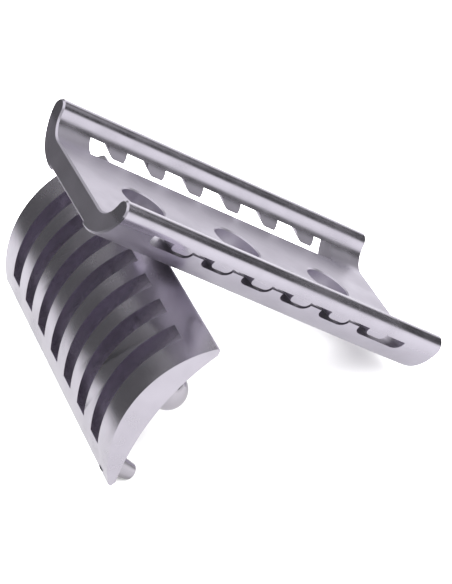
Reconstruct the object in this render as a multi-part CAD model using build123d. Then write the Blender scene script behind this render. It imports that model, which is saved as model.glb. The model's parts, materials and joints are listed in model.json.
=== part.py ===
from build123d import *
from math import acos, asin, atan2, cos, degrees, hypot, radians, sin
import os

# A double-edge safety razor head taken apart: the slotted cap lies on one long
# edge and on the tip of its own threaded stud, and the curved base plate leans
# on the cap's upper edge. Millimetres, +Z up, the surface is Z = 0.

HEAD_LENGTH = 43.0

# Slotted cap, in its own frame: X across, Y along, Z out of the convex side.
CAP_WIDTH = 18.6
CAP_HEIGHT = 4.33
CAP_EDGE_RISE = 0.35
CAP_INNER_WIDTH = 17.4
CAP_INNER_DROP = 0.15
CAP_INNER_RISE = 1.3
CAP_SLOTS = 7
CAP_SLOT_PITCH = 5.45
CAP_SLOT_WIDTH = 2.8
CAP_SLOT_LENGTH = 14.5
CAP_SLOT_FLOOR = 0.5
BOSS_RADIUS = 3.9
BOSS_TOP = 1.9

# Pins that stand out of the cap's hollow side.
STUD_RADIUS = 2.5
STUD_TIP_RADIUS = 1.9
STUD_COLLAR_RADIUS = 2.8
STUD_COLLAR_END = 0.5
PIN_RADIUS = 2.25
PIN_SPACING = 12.84
PIN_END = -5.85
PEG_ROOT_RADIUS = 1.3
PEG_END_RADIUS = 0.9
PEG_CORNER = 0.25
PEG_TOP = 0.75
PEG_END = -2.5
PEG_FROM_EDGE = 1.5
PEG_FROM_END = 2.4

# Base plate, in its own frame: X along, Y across, Z out of the handle side.
WEB_THICKNESS = 2.6
BLADE_RECESS_DEPTH = 0.25
BLADE_RECESS_WIDTH = 12.4
WEB_FLAT_WIDTH = 15.4
RAIL_TIP_RADIUS = 1.25
RAIL_TIP_Y = 11.8
RAIL_TIP_Z = 2.05
CURVE_CENTRE_Y = 6.6
CURVE_CENTRE_Z = 3.95
STUD_HOLE_RADIUS = 2.9
PIN_HOLE_RADIUS = 2.65
EDGE_BREAK = 0.2
HOLE_CHAMFER = 0.15

# Lather slot between each rail and the web. Teeth hang from both rails. On the -Y
# side a scalloped comb faces them from below, and on the +Y side the slot is open.
RAIL_GAPS = 7
RAIL_PITCH = 5.31
RAIL_GAP_WIDTH = 2.9
RAIL_SLOT_LENGTH = 34.1
RAIL_TOOTH_WIDTH = RAIL_PITCH - RAIL_GAP_WIDTH
SCALLOP_WIDTH = 3.85
SCALLOP_SHIFT = 0.45
SCALLOP_CORNER = 0.9
SLOT_INNER_Y = 8.0
SLOT_OUTER_Y = 14.5
SLOT_OUTER_TOP = 1.52
SLOT_INNER_TOP = 0.9
COMB_HEIGHT = 1.36
OPEN_FLOOR_DROP = 2.75
TOOTH_CORNER = 0.6

# How the two pieces rest.
CAP_TILT = 54.8
LEAN_FROM_END = 11.75
PLATE_YAW = 1.1
PLATE_OFFSET_Y = 3.1
REST_GAP = 0.15


def cap_section():
    """Crescent section of the cap, X across and Z out of the convex side."""
    outer_x = CAP_WIDTH / 2
    inner_x = CAP_INNER_WIDTH / 2
    with BuildSketch(Plane.XZ) as section:
        with BuildLine():
            ThreePointArc((-outer_x, CAP_EDGE_RISE), (0, CAP_HEIGHT), (outer_x, CAP_EDGE_RISE))
            Line((outer_x, CAP_EDGE_RISE), (outer_x, 0))
            Line((outer_x, 0), (inner_x, -CAP_INNER_DROP))
            ThreePointArc((inner_x, -CAP_INNER_DROP), (0, CAP_INNER_RISE), (-inner_x, -CAP_INNER_DROP))
            Line((-inner_x, -CAP_INNER_DROP), (-outer_x, 0))
            Line((-outer_x, 0), (-outer_x, CAP_EDGE_RISE))
        make_face()
    return section.sketch


def cap_blank():
    """The solid crescent, before its slots are cut."""
    return extrude(cap_section(), HEAD_LENGTH / 2, both=True)


def pin_places():
    return [-PIN_SPACING, 0, PIN_SPACING]


def peg_places():
    """Two opposite corners of the cap's hollow side, near end first."""
    across = CAP_WIDTH / 2 - PEG_FROM_EDGE
    along = HEAD_LENGTH / 2 - PEG_FROM_END
    return [(-across, -along), (across, along)]


def upright(radius, bottom, top):
    """A cylinder on the Z axis between two heights."""
    return Pos(0, 0, bottom) * Cylinder(radius, top - bottom, align=(Align.CENTER, Align.CENTER, Align.MIN))


def stud_end():
    """Height of the stud's tip under the chord, where it meets the surface."""
    tilt = radians(CAP_TILT)
    middle = CAP_WIDTH / 2 * sin(tilt)
    return -(middle - STUD_TIP_RADIUS * sin(tilt) - 0.02) / cos(tilt)


def threaded_stud():
    """Stud that the handle screws on to, with a chamfered tip and a collar set into the cap."""
    stud = upright(STUD_RADIUS, stud_end(), STUD_COLLAR_END)
    tip = stud.edges().sort_by(Axis.Z)[0]
    stud = chamfer(tip, STUD_RADIUS - STUD_TIP_RADIUS)
    return stud + upright(STUD_COLLAR_RADIUS, STUD_COLLAR_END, BOSS_TOP)


def alignment_pin(along):
    """Pin whose free end is half a ball, which drops through a hole in the base plate."""
    centre = PIN_END + PIN_RADIUS
    ball = Pos(0, 0, centre) * Sphere(PIN_RADIUS)
    return Pos(0, along, 0) * (upright(PIN_RADIUS, centre, BOSS_TOP) + ball)


def corner_peg(across, along):
    """Small tapered peg that stops the blade's corner tab."""
    height = PEG_TOP - PEG_END
    middle = (PEG_TOP + PEG_END) / 2
    cone = Pos(across, along, middle) * Cone(PEG_END_RADIUS, PEG_ROOT_RADIUS, height)
    free_edge = cone.edges().sort_by(Axis.Z)[0]
    return fillet(free_edge, PEG_CORNER)


def slot_cutter():
    """A cross slot's space, which stops at a thin floor along the hollow side."""
    half_width = CAP_INNER_WIDTH / 2
    rise = CAP_INNER_RISE + CAP_INNER_DROP
    hollow_radius = (half_width**2 + rise**2) / (2 * rise)
    floor = Cylinder(hollow_radius + CAP_SLOT_FLOOR, 2 * CAP_SLOT_WIDTH)
    floor = Pos(0, 0, CAP_INNER_RISE - hollow_radius) * Rot(90, 0, 0) * floor
    return Box(CAP_SLOT_LENGTH, CAP_SLOT_WIDTH, 4 * CAP_HEIGHT) - floor


def cap():
    """Crescent with seven deep cross slots and solid places where the pins are set."""
    blank = cap_blank()
    body = blank
    cutter = slot_cutter()
    for index in range(CAP_SLOTS):
        along = (index - (CAP_SLOTS - 1) / 2) * CAP_SLOT_PITCH
        body -= Pos(0, along, 0) * cutter
    floor_height = 2 * BOSS_TOP
    for along in pin_places():
        body += (Pos(0, along, 0) * Cylinder(BOSS_RADIUS, floor_height)) & blank
    body -= threaded_stud()
    body -= alignment_pin(-PIN_SPACING)
    body -= alignment_pin(PIN_SPACING)
    for across, along in peg_places():
        body -= corner_peg(across, along)
    return body


def arc(centre, radius, start, end):
    """Part of a circle in the section, between two angles in degrees."""
    angles = [radians(start), radians((start + end) / 2), radians(end)]
    points = [(centre[0] + radius * cos(angle), centre[1] + radius * sin(angle)) for angle in angles]
    return ThreePointArc(*points)


def plate_half_outline():
    """Right half of the plate's section: web top, rail, outer curve, web underside.

    The rail's tip circle touches both the inner curve, which leaves the web
    smoothly, and the large outer curve.
    """
    flat = WEB_FLAT_WIDTH / 2
    lip = BLADE_RECESS_WIDTH / 2
    reach = RAIL_TIP_Y - flat
    inner_radius = (reach**2 + RAIL_TIP_Z**2 - RAIL_TIP_RADIUS**2) / (2 * (RAIL_TIP_Z + RAIL_TIP_RADIUS))
    inner_end = degrees(atan2(RAIL_TIP_Z - inner_radius, reach))
    rise = RAIL_TIP_Z - CURVE_CENTRE_Z
    run = RAIL_TIP_Y - CURVE_CENTRE_Y
    outer_radius = hypot(run, rise) + RAIL_TIP_RADIUS
    outer_start = degrees(atan2(rise, run))
    outer_end = -degrees(acos((lip - CURVE_CENTRE_Y) / outer_radius))
    Line((0, 0), (flat, 0))
    arc((flat, inner_radius), inner_radius, -90, inner_end)
    arc((RAIL_TIP_Y, RAIL_TIP_Z), RAIL_TIP_RADIUS, 180 + inner_end, outer_start)
    outer = arc((CURVE_CENTRE_Y, CURVE_CENTRE_Z), outer_radius, outer_start, outer_end)
    Line(outer @ 1, (lip, -WEB_THICKNESS))
    Line((lip, -WEB_THICKNESS), (0, -WEB_THICKNESS))


def plate_blank():
    """Curved plate with its ends' outlines lightly chamfered."""
    with BuildPart() as blank:
        with BuildSketch(Plane.YZ):
            with BuildLine():
                plate_half_outline()
                mirror(about=Plane.YZ)
            make_face()
        extrude(amount=HEAD_LENGTH / 2, both=True)
        ends = blank.faces().filter_by(Axis.X)
        chamfer(ends.edges(), EDGE_BREAK)
    return blank.part


def along_plate(points, width):
    """A prism with the given Y, Z outline, centred on X = 0."""
    with BuildSketch(Plane.YZ) as outline:
        with BuildLine():
            Polyline(*points, close=True)
        make_face()
    return extrude(outline.sketch, width / 2, both=True)


def between_gaps():
    """Where the rail's teeth hang, along the plate."""
    return [(index - RAIL_GAPS / 2 + 1) * RAIL_PITCH for index in range(RAIL_GAPS - 1)]


def under_rail():
    """Ceiling of the lather slot, from outside to inside."""
    return [(SLOT_OUTER_Y, SLOT_OUTER_TOP), (9.6, 1.05), (SLOT_INNER_Y, SLOT_INNER_TOP)]


def rail_teeth():
    """The round-cornered teeth that hang from a rail into its slot."""
    outline = [(SLOT_INNER_Y, 0.15), (SLOT_OUTER_Y, 0.6), (SLOT_OUTER_Y, 3), (SLOT_INNER_Y, 3)]
    tooth = along_plate(outline, RAIL_TOOTH_WIDTH)
    low_edges = tooth.faces().sort_by(Axis.Z)[0].edges().sort_by(Axis.X)
    tooth = fillet([low_edges[0], low_edges[-1]], TOOTH_CORNER)
    return [Pos(at, 0, 0) * tooth for at in between_gaps()]


def comb_cut():
    """The zig-zag slot whose floor rises to a comb between round-bottomed scallops."""
    ramp = [(SLOT_INNER_Y, 0), (SLOT_OUTER_Y, COMB_HEIGHT)]
    cut = along_plate(ramp + under_rail(), RAIL_SLOT_LENGTH)
    floor = [(SLOT_INNER_Y, 0), (SLOT_OUTER_Y, 0)]
    scallop = along_plate(floor + under_rail(), SCALLOP_WIDTH)
    low_edges = scallop.edges().filter_by(Axis.Y).group_by(Axis.Z)[0]
    scallop = fillet(low_edges, SCALLOP_CORNER)
    end = (RAIL_SLOT_LENGTH - SCALLOP_WIDTH) / 2
    for at in [-end, end] + [place + SCALLOP_SHIFT for place in between_gaps()]:
        cut += Pos(at, 0, 0) * scallop
    for tooth in rail_teeth():
        cut -= tooth
    return cut


def open_cut():
    """The slot on the other side, whose floor falls away outwards from the web's straight edge."""
    floor = [(SLOT_INNER_Y, 0), (SLOT_OUTER_Y, -OPEN_FLOOR_DROP)]
    cut = along_plate(floor + under_rail(), RAIL_SLOT_LENGTH)
    for tooth in rail_teeth():
        cut -= tooth
    return cut


def plate_hole(radius, along):
    """A through hole with a chamfered rim on both faces of the web."""
    depth = WEB_THICKNESS
    hole = Pos(along, 0, 0) * Cylinder(radius, 4 * depth)
    top_rim = Pos(along, 0, -HOLE_CHAMFER) * Cone(
        radius, radius + 2 * HOLE_CHAMFER, 2 * HOLE_CHAMFER, align=(Align.CENTER, Align.CENTER, Align.MIN)
    )
    low_rim = Pos(along, 0, -depth + HOLE_CHAMFER) * Cone(
        radius + 2 * HOLE_CHAMFER, radius, 2 * HOLE_CHAMFER, align=(Align.CENTER, Align.CENTER, Align.MAX)
    )
    return hole + top_rim + low_rim


def base_plate():
    """Curved plate with two raised guard rails, lather slots and three holes."""
    body = plate_blank() - open_cut()
    body -= Rot(0, 0, 180) * comb_cut()
    body -= plate_hole(STUD_HOLE_RADIUS, 0)
    body -= plate_hole(PIN_HOLE_RADIUS, -PIN_SPACING)
    body -= plate_hole(PIN_HOLE_RADIUS, PIN_SPACING)
    return body


def cap_location():
    """The cap tilted about its lower long edge, which lies on the surface."""
    tilt = radians(CAP_TILT)
    half = CAP_WIDTH / 2
    return Pos(half * cos(tilt), 0, half * sin(tilt)) * Rot(0, -CAP_TILT, 0)


def plate_location():
    """The plate leaning on the cap's upper edge, its far end on the surface."""
    tilt = radians(CAP_TILT)
    edge_x = CAP_WIDTH * cos(tilt)
    edge_z = CAP_WIDTH * sin(tilt)
    slope = asin(edge_z / (HEAD_LENGTH - LEAN_FROM_END))
    contact = (LEAN_FROM_END - HEAD_LENGTH / 2, 0, -WEB_THICKNESS - BLADE_RECESS_DEPTH - REST_GAP)
    turned = Rot(0, 0, PLATE_YAW) * Rot(0, degrees(slope), 0)
    offset = (turned * Pos(*contact)).position
    return Pos(edge_x - offset.X, PLATE_OFFSET_Y - offset.Y, edge_z - offset.Z) * turned


def nodes():
    """Every piece of the head, in its resting place, by name."""
    near_peg, far_peg = peg_places()
    cap_pieces = {
        "cap": cap(),
        "threaded_stud": threaded_stud(),
        "alignment_pin_near": alignment_pin(-PIN_SPACING),
        "alignment_pin_far": alignment_pin(PIN_SPACING),
        "corner_peg_near": corner_peg(*near_peg),
        "corner_peg_far": corner_peg(*far_peg),
    }
    placed = {name: cap_location() * piece for name, piece in cap_pieces.items()}
    placed["base_plate"] = plate_location() * base_plate()
    return placed


def centred(pieces):
    """The pieces moved so that the middle of their footprint is the origin."""
    boxes = [piece.bounding_box() for piece in pieces.values()]
    middle_x = (min(box.min.X for box in boxes) + max(box.max.X for box in boxes)) / 2
    middle_y = (min(box.min.Y for box in boxes) + max(box.max.Y for box in boxes)) / 2
    bottom = min(box.min.Z for box in boxes)
    return {name: Pos(-middle_x, -middle_y, -bottom) * piece for name, piece in pieces.items()}


os.makedirs("parts", exist_ok=True)
for name, piece in centred(nodes()).items():
    export_step(piece, f"parts/{name}.step")
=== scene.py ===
import json
import math

import bpy
from mathutils import Matrix, Vector


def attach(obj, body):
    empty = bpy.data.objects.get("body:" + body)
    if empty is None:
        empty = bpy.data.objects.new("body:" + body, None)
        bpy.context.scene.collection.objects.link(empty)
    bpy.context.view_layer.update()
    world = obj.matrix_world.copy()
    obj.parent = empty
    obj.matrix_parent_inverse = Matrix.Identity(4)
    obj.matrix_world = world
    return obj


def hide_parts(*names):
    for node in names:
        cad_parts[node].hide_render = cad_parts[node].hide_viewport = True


# A double-edge safety razor head in two pieces of satin steel on a white table.
# Metres, +Z up. Azimuths go from +Y, behind the head, towards +X, on its right.

CAMERA_AZIMUTH = 20.1
CAMERA_ELEVATION = 29.9
CAMERA_ROLL = 5.0
CAMERA_DISTANCE = 0.340
CAMERA_TARGET = Vector((-0.0021, -0.0011, 0.0105))
SENSOR_WIDTH = 36.0
LENS = 248.65

# The stud's thread, M5 by 0.8.
THREAD_PITCH = 0.0008
THREAD_DEPTH = 0.00045
THREAD_CREST = 0.125
THREAD_STEPS_ROUND = 64
THREAD_STEPS_PER_TURN = 12
TIP_CHAMFER = 0.0006
COLLAR_RADIUS = 0.0028
COLLAR_LENGTH = 0.0014

# The steel's texture: noise scales, how far streaks and scratches run, and the relief.
CLOUD_SCALE = 260
STREAK_SCALE = 9000
STREAK_STRETCH = (0.12, 1, 1)
SCRATCH_SCALE = 1500
SCRATCH_STRETCH = (0.1, 1.3, 1)
SCRATCH_RANGE = (0.63, 0.66, 0.012)
SCRATCH_DEPTH = -0.8
CLOUD_SHADE = 0.93
CLOUD_SHADE_RANGE = (0.35, 0.7)
CLOUD_ROUGHNESS_RANGE = (0.3, 0.75)
CLOUD_SMOOTHER = 0.04
CLOUD_ROUGHER = 0.06
# Painted shade: occluded corners and contacts between parts are darkened towards this colour, and made
# rougher.
CORNER_RANGE = (0.3, 0.85)
CORNER_SHADE_COLOUR = (0.1, 0.09, 0.1, 1)
CORNER_ROUGHNESS = 0.15
STREAK_ROUGHNESS = 0.05
RELIEF_STRENGTH = 0.06
RELIEF_HEIGHT = 0.00003

# How much rougher the web between the rails is, and how far up the rails that fades.
WEB_ROUGHNESS = 0.18
WEB_FADE_FROM = 0.0006
WEB_FADE_TO = 0.0014

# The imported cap's mesh has dents of up to 0.6 mm on the bars between its slots. This
# only hides them: a normal that leans less than this along the cap is shaded straight.
LEAN_KEPT_FROM = 0.55
LEAN_KEPT_TO = 0.65

# What the steel mirrors: azimuth from and to, elevation from and to, softness, brightness.
SKY_LEVEL = 0.95
DIM_BACK = (-36, 26, 16, 44, 9, 0.26)
DARK_BACK_LEFT = (-85, -14, -30, 26, 9, 0.10)
BRIGHT_BACK_RIGHT = (20, 52, -3, 10, 6, 1.3)
DARK_RIGHT = (55, 138, 11, 36, 8, 0.05)
DIM_FRONT = (160, 181, 5, 60, 12, 0.55)
DIM_LEFT = (-150, -80, 5, 50, 12, 0.5)
PATCH_SOFTNESS_UP = 0.6

# Light on the table grows between these elevations. What the steel mirrors of the
# table is partly a glow and partly that light, and it turns dark on the left.
OVERHEAD_FROM = 25
OVERHEAD_TO = 60
OVERHEAD_LIGHT = 7.0
SIDE_LIGHT = 4.0
TABLE_REACH = 4.0
TABLE_ALBEDO = 0.9
TABLE_IN_STEEL = 0.09
TABLE_GLOW_IN_STEEL = 0.6
DARK_TABLE_SHARE = 0.10
DARK_TABLE_FROM = -0.0270
DARK_TABLE_TO = -0.0480


def view_direction(azimuth, elevation):
    """Unit vector that looks towards an azimuth and down by the elevation."""
    a = math.radians(azimuth)
    e = math.radians(elevation)
    return Vector((math.sin(a) * math.cos(e), math.cos(a) * math.cos(e), -math.sin(e)))


def add_camera():
    data = bpy.data.cameras.new("camera")
    data.sensor_fit = "HORIZONTAL"
    data.sensor_width = SENSOR_WIDTH
    data.lens = LENS
    data.clip_start = 0.01
    data.clip_end = 20
    camera = bpy.data.objects.new("camera", data)
    forward = view_direction(CAMERA_AZIMUTH, CAMERA_ELEVATION)
    level = forward.to_track_quat("-Z", "Y").to_matrix().to_4x4()
    roll = Matrix.Rotation(math.radians(CAMERA_ROLL), 4, "Z")
    place = Matrix.Translation(CAMERA_TARGET - forward * CAMERA_DISTANCE)
    camera.matrix_world = place @ level @ roll
    bpy.context.scene.collection.objects.link(camera)
    bpy.context.scene.camera = camera


class Nodes:
    """Short calls for building a node tree. A value is a number or another node's output."""

    def __init__(self, tree):
        self.tree = tree

    def add(self, kind, **settings):
        node = self.tree.nodes.new(kind)
        for name, value in settings.items():
            setattr(node, name, value)
        return node

    def feed(self, socket, value):
        if isinstance(value, bpy.types.NodeSocket):
            self.tree.links.new(value, socket)
        else:
            socket.default_value = value

    def math(self, operation, *values):
        node = self.add("ShaderNodeMath", operation=operation)
        for socket, value in zip(node.inputs, values):
            self.feed(socket, value)
        return node.outputs[0]

    def step(self, value, low, high, start=0.0, end=1.0):
        """Smooth change from start to end as the value goes from low to high."""
        node = self.add("ShaderNodeMapRange", interpolation_type="SMOOTHSTEP")
        names = ("Value", "From Min", "From Max", "To Min", "To Max")
        for name, given in zip(names, (value, low, high, start, end)):
            self.feed(node.inputs[name], given)
        return node.outputs["Result"]

    def window(self, value, low, high, soft):
        """1 between low and high, falling smoothly to 0 outside."""
        rise = self.step(value, low - soft, low + soft)
        fall = self.step(value, high - soft, high + soft, 1.0, 0.0)
        return self.math("MULTIPLY", rise, fall)

    def blend(self, amount, first, second):
        """Mix of two numbers."""
        node = self.add("ShaderNodeMix", data_type="FLOAT")
        for index, value in ((0, amount), (2, first), (3, second)):
            self.feed(node.inputs[index], value)
        return node.outputs[0]

    def tint(self, amount, first, second):
        """Mix of two colours."""
        node = self.add("ShaderNodeMix", data_type="RGBA")
        for index, value in ((0, amount), (6, first), (7, second)):
            self.feed(node.inputs[index], value)
        return node.outputs[2]

    def dot(self, vector, direction):
        node = self.add("ShaderNodeVectorMath", operation="DOT_PRODUCT")
        self.feed(node.inputs[0], vector)
        node.inputs[1].default_value = direction
        return node.outputs["Value"]

    def straight_normal(self, axis):
        """Surface normal without its lean along an axis, which shades over dents in a mesh."""
        normal = self.add("ShaderNodeNewGeometry").outputs["Normal"]
        lean = self.dot(normal, axis)
        amount = self.step(self.math("ABSOLUTE", lean), LEAN_KEPT_FROM, LEAN_KEPT_TO, 1.0, 0.0)
        excess = self.add("ShaderNodeVectorMath", operation="SCALE")
        excess.inputs[0].default_value = axis
        self.feed(excess.inputs["Scale"], self.math("MULTIPLY", lean, amount))
        rest = self.add("ShaderNodeVectorMath", operation="SUBTRACT")
        self.feed(rest.inputs[0], normal)
        self.feed(rest.inputs[1], excess.outputs[0])
        unit = self.add("ShaderNodeVectorMath", operation="NORMALIZE")
        self.feed(unit.inputs[0], rest.outputs[0])
        return unit.outputs[0]

    def noise(self, vector, scale, detail=2.0):
        node = self.add("ShaderNodeTexNoise")
        self.feed(node.inputs["Vector"], vector)
        node.inputs["Scale"].default_value = scale
        node.inputs["Detail"].default_value = detail
        return node.outputs[0]

    def stretched(self, axes, factors):
        """Coordinates along three axes, each scaled by its own factor."""
        place = self.add("ShaderNodeTexCoord").outputs["Object"]
        joined = self.add("ShaderNodeCombineXYZ")
        for socket, axis, factor in zip(joined.inputs, axes, factors):
            self.feed(socket, self.dot(place, axis * factor))
        return joined.outputs[0]


def add_world():
    """White to the eye, bright overhead on the table; in the steel, dim walls left and right."""
    world = bpy.data.worlds.new("studio")
    bpy.context.scene.world = world
    world.use_nodes = True
    nodes = Nodes(world.node_tree)
    direction = nodes.add("ShaderNodeTexCoord").outputs["Generated"]
    parts = nodes.add("ShaderNodeSeparateXYZ")
    nodes.feed(parts.inputs[0], direction)
    x, y, z = parts.outputs
    azimuth = nodes.math("DEGREES", nodes.math("ARCTAN2", x, y))
    elevation = nodes.math("DEGREES", nodes.math("ARCSINE", z))
    level = SKY_LEVEL
    for left, right, low, high, soft, brightness in (
        DIM_BACK, DIM_FRONT, DIM_LEFT, BRIGHT_BACK_RIGHT, DARK_BACK_LEFT, DARK_RIGHT,
    ):
        sideways = nodes.window(azimuth, left, right, soft)
        upward = nodes.window(elevation, low, high, soft * PATCH_SOFTNESS_UP)
        level = nodes.blend(nodes.math("MULTIPLY", sideways, upward), level, brightness)
    path = nodes.add("ShaderNodeLightPath")
    overhead = nodes.step(elevation, OVERHEAD_FROM, OVERHEAD_TO, SIDE_LIGHT, OVERHEAD_LIGHT)
    level = nodes.blend(path.outputs["Is Diffuse Ray"], level, overhead)
    background = world.node_tree.nodes["Background"]
    background.inputs["Color"].default_value = (1, 1, 1, 1)
    seen = nodes.blend(path.outputs["Is Camera Ray"], level, 1.0)
    nodes.feed(background.inputs["Strength"], seen)


def add_floor():
    """White table lit from all sides, in shade only where the head covers it."""
    reach = TABLE_REACH
    mesh = bpy.data.meshes.new("floor")
    corners = [(-reach, -reach, 0), (reach, -reach, 0), (reach, reach, 0), (-reach, reach, 0)]
    mesh.from_pydata(corners, [], [(0, 1, 2, 3)])
    floor = bpy.data.objects.new("floor", mesh)
    bpy.context.scene.collection.objects.link(floor)
    material = bpy.data.materials.new("table")
    material.use_nodes = True
    shader = material.node_tree.nodes["Principled BSDF"]
    shader.inputs["Roughness"].default_value = 1
    shader.inputs["Specular IOR Level"].default_value = 0
    shader.inputs["Emission Color"].default_value = (1, 1, 1, 1)
    nodes = Nodes(material.node_tree)
    parts = nodes.add("ShaderNodeSeparateXYZ")
    nodes.feed(parts.inputs[0], nodes.add("ShaderNodeTexCoord").outputs["Object"])
    share = nodes.step(parts.outputs[0], DARK_TABLE_TO, DARK_TABLE_FROM, DARK_TABLE_SHARE, 1.0)
    glossy = nodes.add("ShaderNodeLightPath").outputs["Is Glossy Ray"]
    level = nodes.blend(glossy, TABLE_ALBEDO, nodes.math("MULTIPLY", share, TABLE_IN_STEEL))
    glow = nodes.blend(glossy, 0.0, nodes.math("MULTIPLY", share, TABLE_GLOW_IN_STEEL))
    grey = nodes.add("ShaderNodeCombineColor")
    for socket in grey.inputs:
        nodes.feed(socket, level)
    nodes.feed(shader.inputs["Base Color"], grey.outputs[0])
    nodes.feed(shader.inputs["Emission Strength"], glow)
    mesh.materials.append(material)


def steel(name, tint, roughness, axes, reach=0.002, corner_shade=0.5, grain=1.0, flat=None, straight=False):
    """Satin steel: grain along the piece, rubbed patches, faint scratches, and painted shade darkening
    corners and where parts touch.
    """
    material = bpy.data.materials.new(name)
    material.use_nodes = True
    nodes = Nodes(material.node_tree)
    shader = material.node_tree.nodes["Principled BSDF"]
    shader.inputs["Metallic"].default_value = 1
    cloudy = nodes.noise(nodes.stretched(axes, (1, 1, 1)), CLOUD_SCALE, 3.0)
    streaks = nodes.noise(nodes.stretched(axes, STREAK_STRETCH), STREAK_SCALE, 2.0)
    scratches = nodes.noise(nodes.stretched(axes, SCRATCH_STRETCH), SCRATCH_SCALE, 4.0)
    scratch = nodes.window(scratches, *SCRATCH_RANGE)
    # Painted shade: ambient occlusion darkens the base colour in corners, slots and where parts touch,
    # and adds roughness there.
    occlusion = nodes.add("ShaderNodeAmbientOcclusion", samples=8)
    occlusion.inputs["Distance"].default_value = reach
    corner = nodes.step(occlusion.outputs["AO"], *CORNER_RANGE, 1.0, 0.0)
    duller = [channel * CLOUD_SHADE for channel in tint]
    shade = nodes.tint(nodes.step(cloudy, *CLOUD_SHADE_RANGE), (*tint, 1), (*duller, 1))
    shade = nodes.tint(nodes.math("MULTIPLY", corner, corner_shade), shade, CORNER_SHADE_COLOUR)
    nodes.feed(shader.inputs["Base Color"], shade)
    smoothest, roughest = roughness - CLOUD_SMOOTHER, roughness + CLOUD_ROUGHER
    rough = nodes.step(cloudy, *CLOUD_ROUGHNESS_RANGE, smoothest, roughest)
    if flat:
        height = nodes.dot(nodes.add("ShaderNodeTexCoord").outputs["Object"], axes[2])
        low, high = flat + WEB_FADE_FROM, flat + WEB_FADE_TO
        rough = nodes.math("ADD", rough, nodes.step(height, low, high, WEB_ROUGHNESS, 0.0))
    rough = nodes.math("ADD", rough, nodes.math("MULTIPLY", streaks, STREAK_ROUGHNESS * grain))
    rough = nodes.math("ADD", rough, nodes.math("MULTIPLY", corner, CORNER_ROUGHNESS))
    nodes.feed(shader.inputs["Roughness"], rough)
    ridges = nodes.math("MULTIPLY", streaks, grain)
    relief = nodes.math("ADD", ridges, nodes.math("MULTIPLY", scratch, SCRATCH_DEPTH))
    bump = nodes.add("ShaderNodeBump")
    bump.inputs["Strength"].default_value = RELIEF_STRENGTH
    bump.inputs["Distance"].default_value = RELIEF_HEIGHT
    nodes.feed(bump.inputs["Height"], relief)
    if straight:
        nodes.feed(bump.inputs["Normal"], nodes.straight_normal(axes[0]))
    nodes.feed(shader.inputs["Normal"], bump.outputs[0])
    return material


def set_material(obj, material):
    for place in obj.material_slots:
        place.material = material
    if not obj.material_slots:
        obj.data.materials.append(material)


def mounts(record):
    return {mount["name"]: mount for mount in record["mounts"]}


def across(first, second):
    """The third axis, at right angles to two others."""
    return first.cross(second).normalized()


def thread_radius(full, turn, along):
    """Radius of a V thread with flat crests, at a fraction of a turn and a place along it."""
    phase = (along / THREAD_PITCH - turn) % 1.0
    flank = abs(2 * phase - 1)
    fall = flank * (1 + 2 * THREAD_CREST) - THREAD_CREST
    return full - THREAD_DEPTH * min(1.0, max(0.0, fall))


def stud_rings(length, full):
    """Distance from the tip and the radii round the stud, ring by ring, up to the collar."""
    steps = int(THREAD_STEPS_PER_TURN * length / THREAD_PITCH)
    rings = []
    for index in range(steps + 1):
        along = length * index / steps
        cone = full - TIP_CHAMFER + along
        run_out = (length - along) / THREAD_PITCH
        radii = []
        for around in range(THREAD_STEPS_ROUND):
            cut = thread_radius(full, around / THREAD_STEPS_ROUND, along)
            if run_out < 1:
                cut = full - (full - cut) * run_out
            radii.append(min(cone, cut))
        rings.append((along, radii))
    return rings


def ring_faces(count):
    """Faces that join the stud's rings one to the next, and close both ends."""
    faces = []
    for ring in range(count - 1):
        start = ring * THREAD_STEPS_ROUND
        for around in range(THREAD_STEPS_ROUND):
            following = (around + 1) % THREAD_STEPS_ROUND
            faces.append((
                start + around,
                start + following,
                start + THREAD_STEPS_ROUND + following,
                start + THREAD_STEPS_ROUND + around,
            ))
    last = (count - 1) * THREAD_STEPS_ROUND
    faces.append(tuple(reversed(range(THREAD_STEPS_ROUND))))
    faces.append(tuple(range(last, last + THREAD_STEPS_ROUND)))
    return faces


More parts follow.
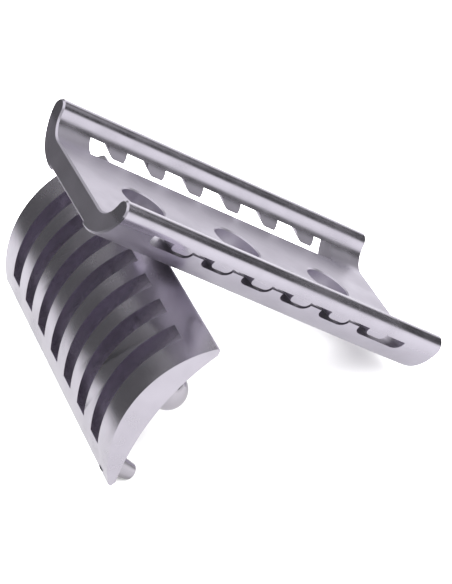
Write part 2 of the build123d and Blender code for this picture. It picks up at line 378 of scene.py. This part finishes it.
def add_threaded_stud(mount, material):
    """The cap's stud with a real screw thread, a chamfered tip and a plain collar."""
    away = Vector(mount["axis"]).normalized()
    full = mount["dims"]["r_mm"] / 1000
    wall = mount["dims"]["length_mm"] / 1000
    tip = Vector(mount["pos_m"]) + away * (wall / 2 + TIP_CHAMFER)
    length = wall + TIP_CHAMFER
    rings = stud_rings(length, full)
    plain = [COLLAR_RADIUS] * THREAD_STEPS_ROUND
    rings += [(length, plain), (length + COLLAR_LENGTH, plain)]
    side = across(away, Vector((0, 1, 0)))
    other = across(away, side)
    points = []
    for along, radii in rings:
        for around, radius in enumerate(radii):
            angle = 2 * math.pi * around / THREAD_STEPS_ROUND
            outward = side * math.cos(angle) + other * math.sin(angle)
            points.append(tip - away * along + outward * radius)
    mesh = bpy.data.meshes.new("screw_thread")
    mesh.from_pydata(points, [], ring_faces(len(rings)))
    mesh.materials.append(material)
    stud = bpy.data.objects.new("screw_thread", mesh)
    bpy.context.scene.collection.objects.link(stud)
    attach(stud, "cap_assembly")
    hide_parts("threaded_stud")


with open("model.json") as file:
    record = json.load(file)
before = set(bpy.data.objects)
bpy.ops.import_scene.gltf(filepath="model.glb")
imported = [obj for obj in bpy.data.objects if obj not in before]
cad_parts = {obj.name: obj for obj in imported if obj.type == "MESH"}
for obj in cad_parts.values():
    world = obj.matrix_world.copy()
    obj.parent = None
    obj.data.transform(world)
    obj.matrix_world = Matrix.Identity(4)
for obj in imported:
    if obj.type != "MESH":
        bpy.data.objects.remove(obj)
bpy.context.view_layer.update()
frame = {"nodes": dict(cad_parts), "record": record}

places = mounts(frame["record"])
plate_up = Vector(places["stud_hole"]["axis"]).normalized()
plate_along = Vector(places["pin_hole_far"]["pos_m"]) - Vector(places["pin_hole_near"]["pos_m"])
plate_along.normalize()
plate_axes = (plate_along, across(plate_up, plate_along), plate_up)
cap_up = -Vector(places["handle_stud"]["axis"]).normalized()
cap_along = Vector((0, 1, 0))
cap_axes = (cap_along, across(cap_up, cap_along), cap_up)
pin_axes = (cap_up, cap_axes[1], cap_along)

web_top = Vector(places["handle_seat"]["pos_m"]).dot(plate_up)

# The cap and the plate get lighter painted shade in their corners and contacts than the pins and the
# stud.
cap_steel = steel("cap_steel", (0.68, 0.645, 0.73), 0.2, cap_axes, reach=0.0025, corner_shade=0.3, straight=True)
plate_steel = steel("plate_steel", (0.70, 0.665, 0.76), 0.21, plate_axes, corner_shade=0.35, flat=web_top)
pin_steel = steel("pin_steel", (0.60, 0.57, 0.63), 0.13, pin_axes, grain=0.6)
stud_steel = steel("stud_steel", (0.66, 0.64, 0.70), 0.22, pin_axes, grain=0.8)
for name, node in frame["nodes"].items():
    if name.startswith(("alignment_pin", "corner_peg")):
        set_material(node, pin_steel)
set_material(frame["nodes"]["cap"], cap_steel)
set_material(frame["nodes"]["base_plate"], plate_steel)
set_material(frame["nodes"]["threaded_stud"], stud_steel)
add_threaded_stud(places["handle_stud"], stud_steel)

add_floor()
add_world()
add_camera()
bpy.context.scene.view_settings.view_transform = "Standard"
